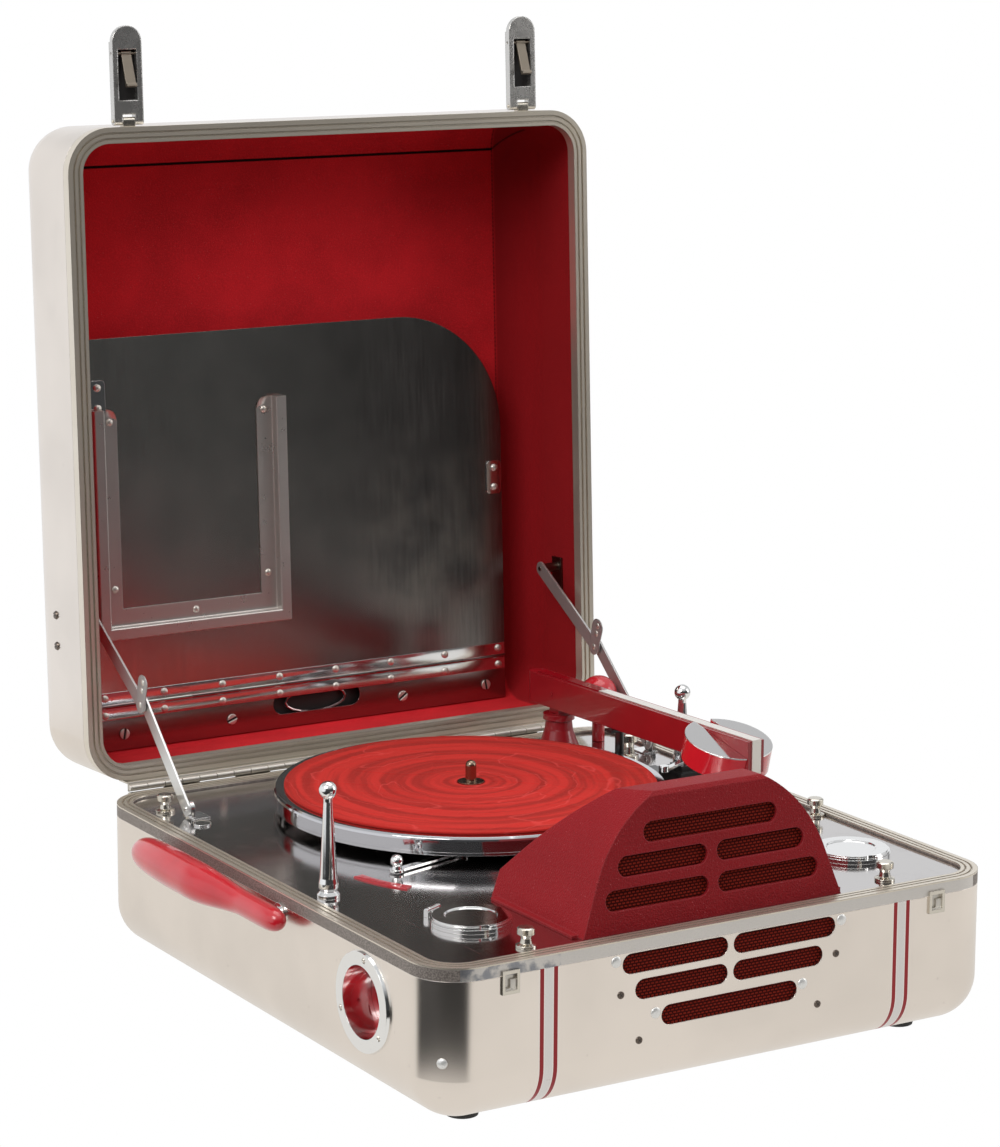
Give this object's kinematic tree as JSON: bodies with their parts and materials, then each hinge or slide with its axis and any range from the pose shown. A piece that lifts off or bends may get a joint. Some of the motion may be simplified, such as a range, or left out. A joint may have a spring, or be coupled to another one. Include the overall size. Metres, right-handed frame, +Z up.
{
  "type": "portable gramophone",
  "caption": "Suitcase record player with hinged lid, turntable, swinging tone arm, arched grille housing, record plate in the lid, hasps and bow handle.",
  "frame": {"origin": "middle of the flat underside of the case; the rubber feet reach 7 mm below it", "axes": "+X to the right seen from the front, +Y to the hinged back, +Z up along the turntable spindle; the lid stands open at rest"},
  "size_m": [0.4462, 0.5559, 0.6041],
  "materials": {
    "case_aluminium": "polished",
    "deck_aluminium": "brushed and scratched",
    "chrome": "mirror polish",
    "nickel": "satin",
    "dark_steel": "satin",
    "iron": "satin grey",
    "red_lacquer": "high gloss",
    "red_crinkle": "crinkle",
    "red_flock": "flock",
    "red_felt": "felt",
    "grille_cloth": "woven",
    "rubber": "matte",
    "paper_cone": "matte",
    "brass": "satin",
    "valve_glass": "clear"
  },
  "bodies": {
    "base": {"base_shell": "case_aluminium", "base_rim": "case_aluminium", "feet": "rubber", "deck_plate": "deck_aluminium", "speaker_housing": "red_crinkle", "housing_cloth": "grille_cloth", "front_cloth": "grille_cloth", "speaker_frame": "iron", "speaker_cone": "paper_cone", "motor": "iron", "amplifier_chassis": "iron", "valves": "valve_glass", "transformer": "iron", "handle_grip": "red_lacquer", "handle_posts": "chrome", "inlet_cup": "chrome", "inlet_socket": "red_lacquer", "keepers": "nickel", "case_screws": "nickel", "deck_thumb_screws": "nickel", "guard_posts": "chrome", "needle_cups": "chrome", "speed_scale": "red_lacquer", "arm_base": "chrome", "arm_rest": "dark_steel", "hinge_base_leaf": "nickel", "hinge_pin": "nickel", "stay_feet": "chrome"},
    "turntable": {"platter": "chrome", "turntable_mat": "red_felt", "spindle": "dark_steel"},
    "governor": {"governor": "brass"},
    "arm_bearing": {"arm_pedestal": "red_lacquer"},
    "arm": {"tone_arm": "red_lacquer", "arm_inlay": "chrome", "pickup_head": "red_lacquer", "needle": "chrome"},
    "knob": {"volume_knob": "red_lacquer"},
    "speed_control": {"speed_lever": "chrome"},
    "stop_control": {"stop_lever": "chrome"},
    "left_cup_lid": {"cup_lid_left": "chrome"},
    "right_cup_lid": {"cup_lid_right": "chrome"},
    "lid": {"lid_shell": "case_aluminium", "lid_rim": "case_aluminium", "lid_lining": "red_flock", "hinge_lid_leaf": "nickel", "plate_strip": "deck_aluminium", "hasp_lugs": "nickel", "stay_studs": "chrome"},
    "plate": {"record_plate": "deck_aluminium", "plate_channel": "chrome", "plate_clips": "chrome"},
    "left_hasp": {"hasp_left": "chrome"},
    "right_hasp": {"hasp_right": "chrome"},
    "left_catch": {"hasp_catch_left": "brass"},
    "right_catch": {"hasp_catch_right": "brass"},
    "left_lower_stay": {"stay_lower_left": "deck_aluminium"},
    "right_lower_stay": {"stay_lower_right": "deck_aluminium"},
    "left_upper_stay": {"stay_upper_left": "deck_aluminium"},
    "right_upper_stay": {"stay_upper_right": "deck_aluminium"}
  },
  "joints": [
    {"name": "lid_hinge", "type": "hinge", "parent": "base", "child": "lid", "pos_m": [0, 0.227, 0.0886], "axis": [1, 0, 0], "range_deg": [0, 92.6]},
    {"name": "record_plate_hinge", "type": "hinge", "parent": "lid", "child": "plate", "pos_m": [0, 0.30251, 0.13222], "axis": [-1, 0, 0], "range_deg": [-25, 0]},
    {"name": "left_hasp_hinge", "type": "hinge", "parent": "lid", "child": "left_hasp", "pos_m": [-0.152, 0.26299, 0.53503], "axis": [1, 0, 0], "range_deg": [0, 90]},
    {"name": "right_hasp_hinge", "type": "hinge", "parent": "lid", "child": "right_hasp", "pos_m": [0.152, 0.26299, 0.53503], "axis": [1, 0, 0], "range_deg": [0, 90]},
    {"name": "left_catch_pivot", "type": "hinge", "parent": "left_hasp", "child": "left_catch", "pos_m": [-0.152, 0.26498, 0.57898], "axis": [1, 0, 0], "range_deg": [0, 18], "stiffness_Nm_per_rad": 0.02},
    {"name": "right_catch_pivot", "type": "hinge", "parent": "right_hasp", "child": "right_catch", "pos_m": [0.152, 0.26498, 0.57898], "axis": [1, 0, 0], "range_deg": [0, 18], "stiffness_Nm_per_rad": 0.02},
    {"name": "turntable_spin", "type": "hinge", "parent": "base", "child": "turntable", "pos_m": [-0.0015, 0.0745, 0.11], "axis": [0, 0, 1], "continuous": true},
    {"name": "governor_spin", "type": "hinge", "parent": "base", "child": "governor", "pos_m": [-0.0015, 0.052, 0.0565], "axis": [-1, 0, 0], "continuous": true},
    {"name": "arm_swivel", "type": "hinge", "parent": "base", "child": "arm_bearing", "pos_m": [0.131, 0.175, 0.12], "axis": [0, 0, 1], "range_deg": [-46, 0]},
    {"name": "arm_lift", "type": "hinge", "parent": "arm_bearing", "child": "arm", "pos_m": [0.131, 0.175, 0.134], "axis": [0.9982, 0.0593, 0], "range_deg": [-14, 0]},
    {"name": "left_cup_lid_hinge", "type": "hinge", "parent": "base", "child": "left_cup_lid", "pos_m": [-0.14188, -0.11364, 0.0968], "axis": [0.8988, 0.4384, 0], "range_deg": [-100, 0]},
    {"name": "right_cup_lid_hinge", "type": "hinge", "parent": "base", "child": "right_cup_lid", "pos_m": [0.12951, -0.11718, 0.0968], "axis": [0.6947, 0.7193, 0], "range_deg": [-100, 0]},
    {"name": "speed_lever_pivot", "type": "hinge", "parent": "base", "child": "speed_control", "pos_m": [-0.062, -0.0135, 0.0946], "axis": [0, 0, 1], "range_deg": [-6, 18]},
    {"name": "volume_knob_turn", "type": "hinge", "parent": "base", "child": "knob", "pos_m": [0.17, 0.184, 0.11], "axis": [0, 0, 1], "range_deg": [-270, 0]},
    {"name": "stop_lever_pivot", "type": "hinge", "parent": "base", "child": "stop_control", "pos_m": [0.157, 0.06, 0.107], "axis": [0, 0, 1], "range_deg": [-8, 0]},
    {"name": "left_stay_foot", "type": "hinge", "parent": "base", "child": "left_lower_stay", "pos_m": [-0.1713, 0.149, 0.099], "axis": [1, 0, 0], "range_deg": [0, 17.49]},
    {"name": "right_stay_foot", "type": "hinge", "parent": "base", "child": "right_lower_stay", "pos_m": [0.1842, 0.143, 0.099], "axis": [1, 0, 0], "range_deg": [0, 12.62]},
    {"name": "left_stay_head", "type": "hinge", "parent": "lid", "child": "left_upper_stay", "pos_m": [-0.1735, 0.27975, 0.19882], "axis": [1, 0, 0], "range_deg": [0, 81.73]},
    {"name": "right_stay_head", "type": "hinge", "parent": "lid", "child": "right_upper_stay", "pos_m": [0.182, 0.27975, 0.19882], "axis": [1, 0, 0], "range_deg": [0, 78.29]}
  ],
  "couplings": [
    {"joint": "governor_spin", "follows": "turntable_spin", "ratio": 24},
    {"joint": "left_stay_foot", "follows": "lid_hinge", "ratio": 0.18348},
    {"joint": "right_stay_foot", "follows": "lid_hinge", "ratio": 0.13089},
    {"joint": "left_stay_head", "follows": "lid_hinge", "ratio": 0.87717},
    {"joint": "right_stay_head", "follows": "lid_hinge", "ratio": 0.84008}
  ]
}
